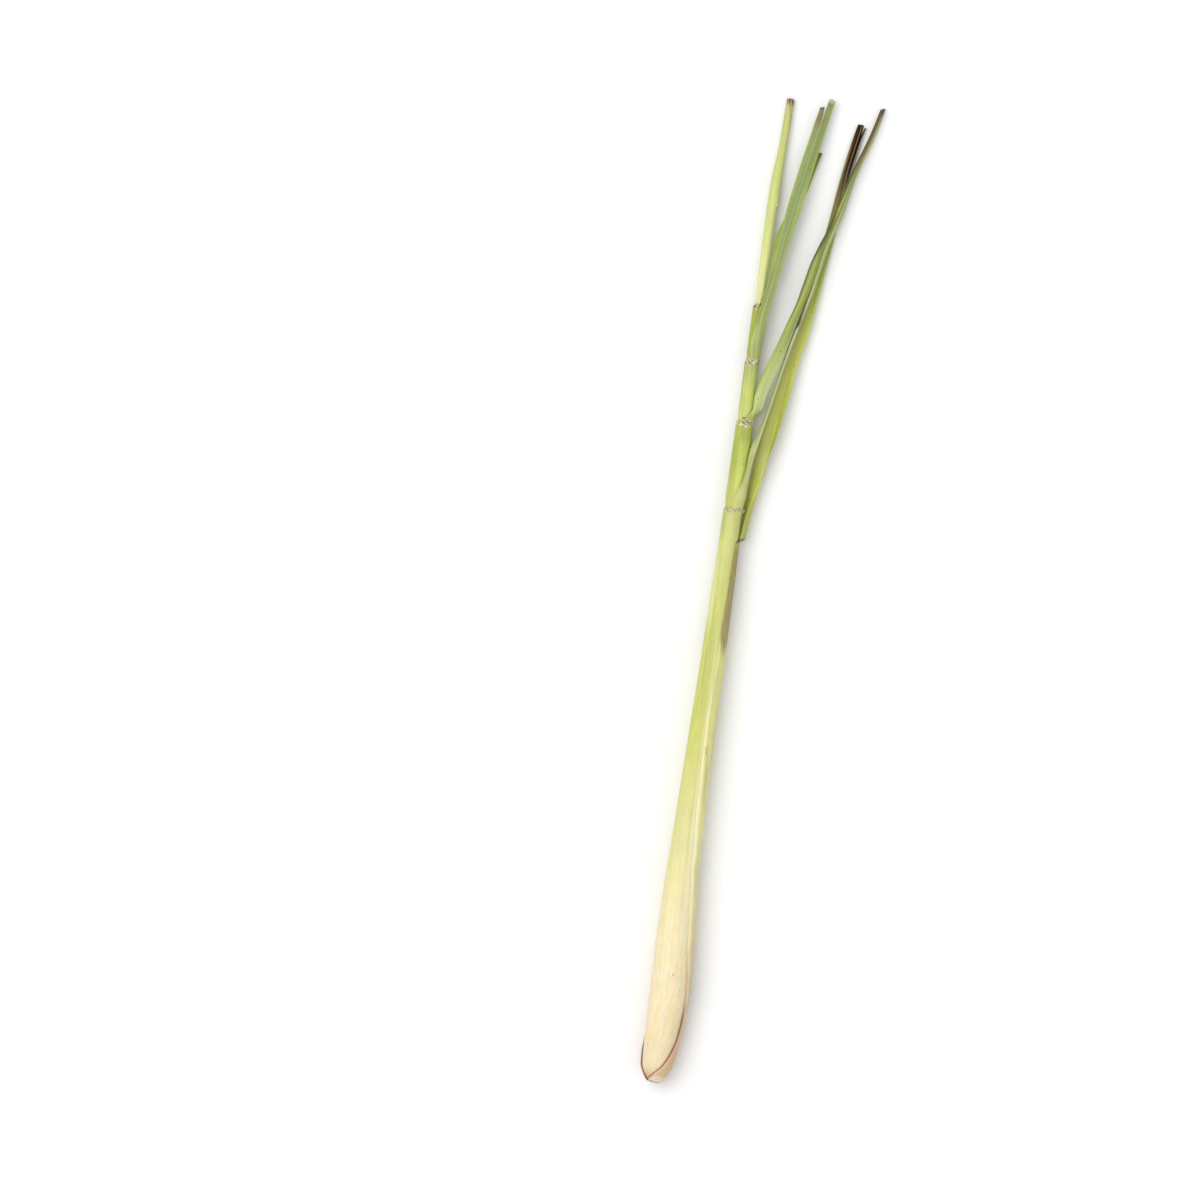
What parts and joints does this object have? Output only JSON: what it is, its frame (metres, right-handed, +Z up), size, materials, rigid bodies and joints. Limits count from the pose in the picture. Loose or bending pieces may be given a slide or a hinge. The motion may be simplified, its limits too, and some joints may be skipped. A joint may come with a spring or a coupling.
{
  "type": "lemongrass stalk",
  "caption": "Cut lemongrass stalk lying on its side: a pale swollen base that narrows into a green neck, a fan of trimmed narrow blades and a rolled pale heart leaf.",
  "frame": {"origin": "on the table, under the middle of the stalk's bounding box", "axes": "+Y from the cut foot to the tips of the blades, +X to the right seen from above, the side that the blades fan out to, +Z up from the table"},
  "size_m": [0.0504, 0.419, 0.0165],
  "materials": {
    "crown_tissue": "fibrous, cut",
    "dry_outer_leaf": "dry, ribbed, dull",
    "pale_leaf": "waxy, finely ribbed",
    "green_leaf": "waxy, finely ribbed",
    "grey_green_leaf": "waxy bloom, finely ribbed",
    "lime_leaf": "waxy, finely ribbed",
    "heart_leaf": "smooth, satin"
  },
  "bodies": {
    "root": {"root_crown": "crown_tissue", "leaf_1": "dry_outer_leaf", "leaf_2": "pale_leaf", "leaf_3": "green_leaf", "leaf_4": "grey_green_leaf", "leaf_5": "lime_leaf", "heart_leaf": "heart_leaf"}
  },
  "joints": []
}
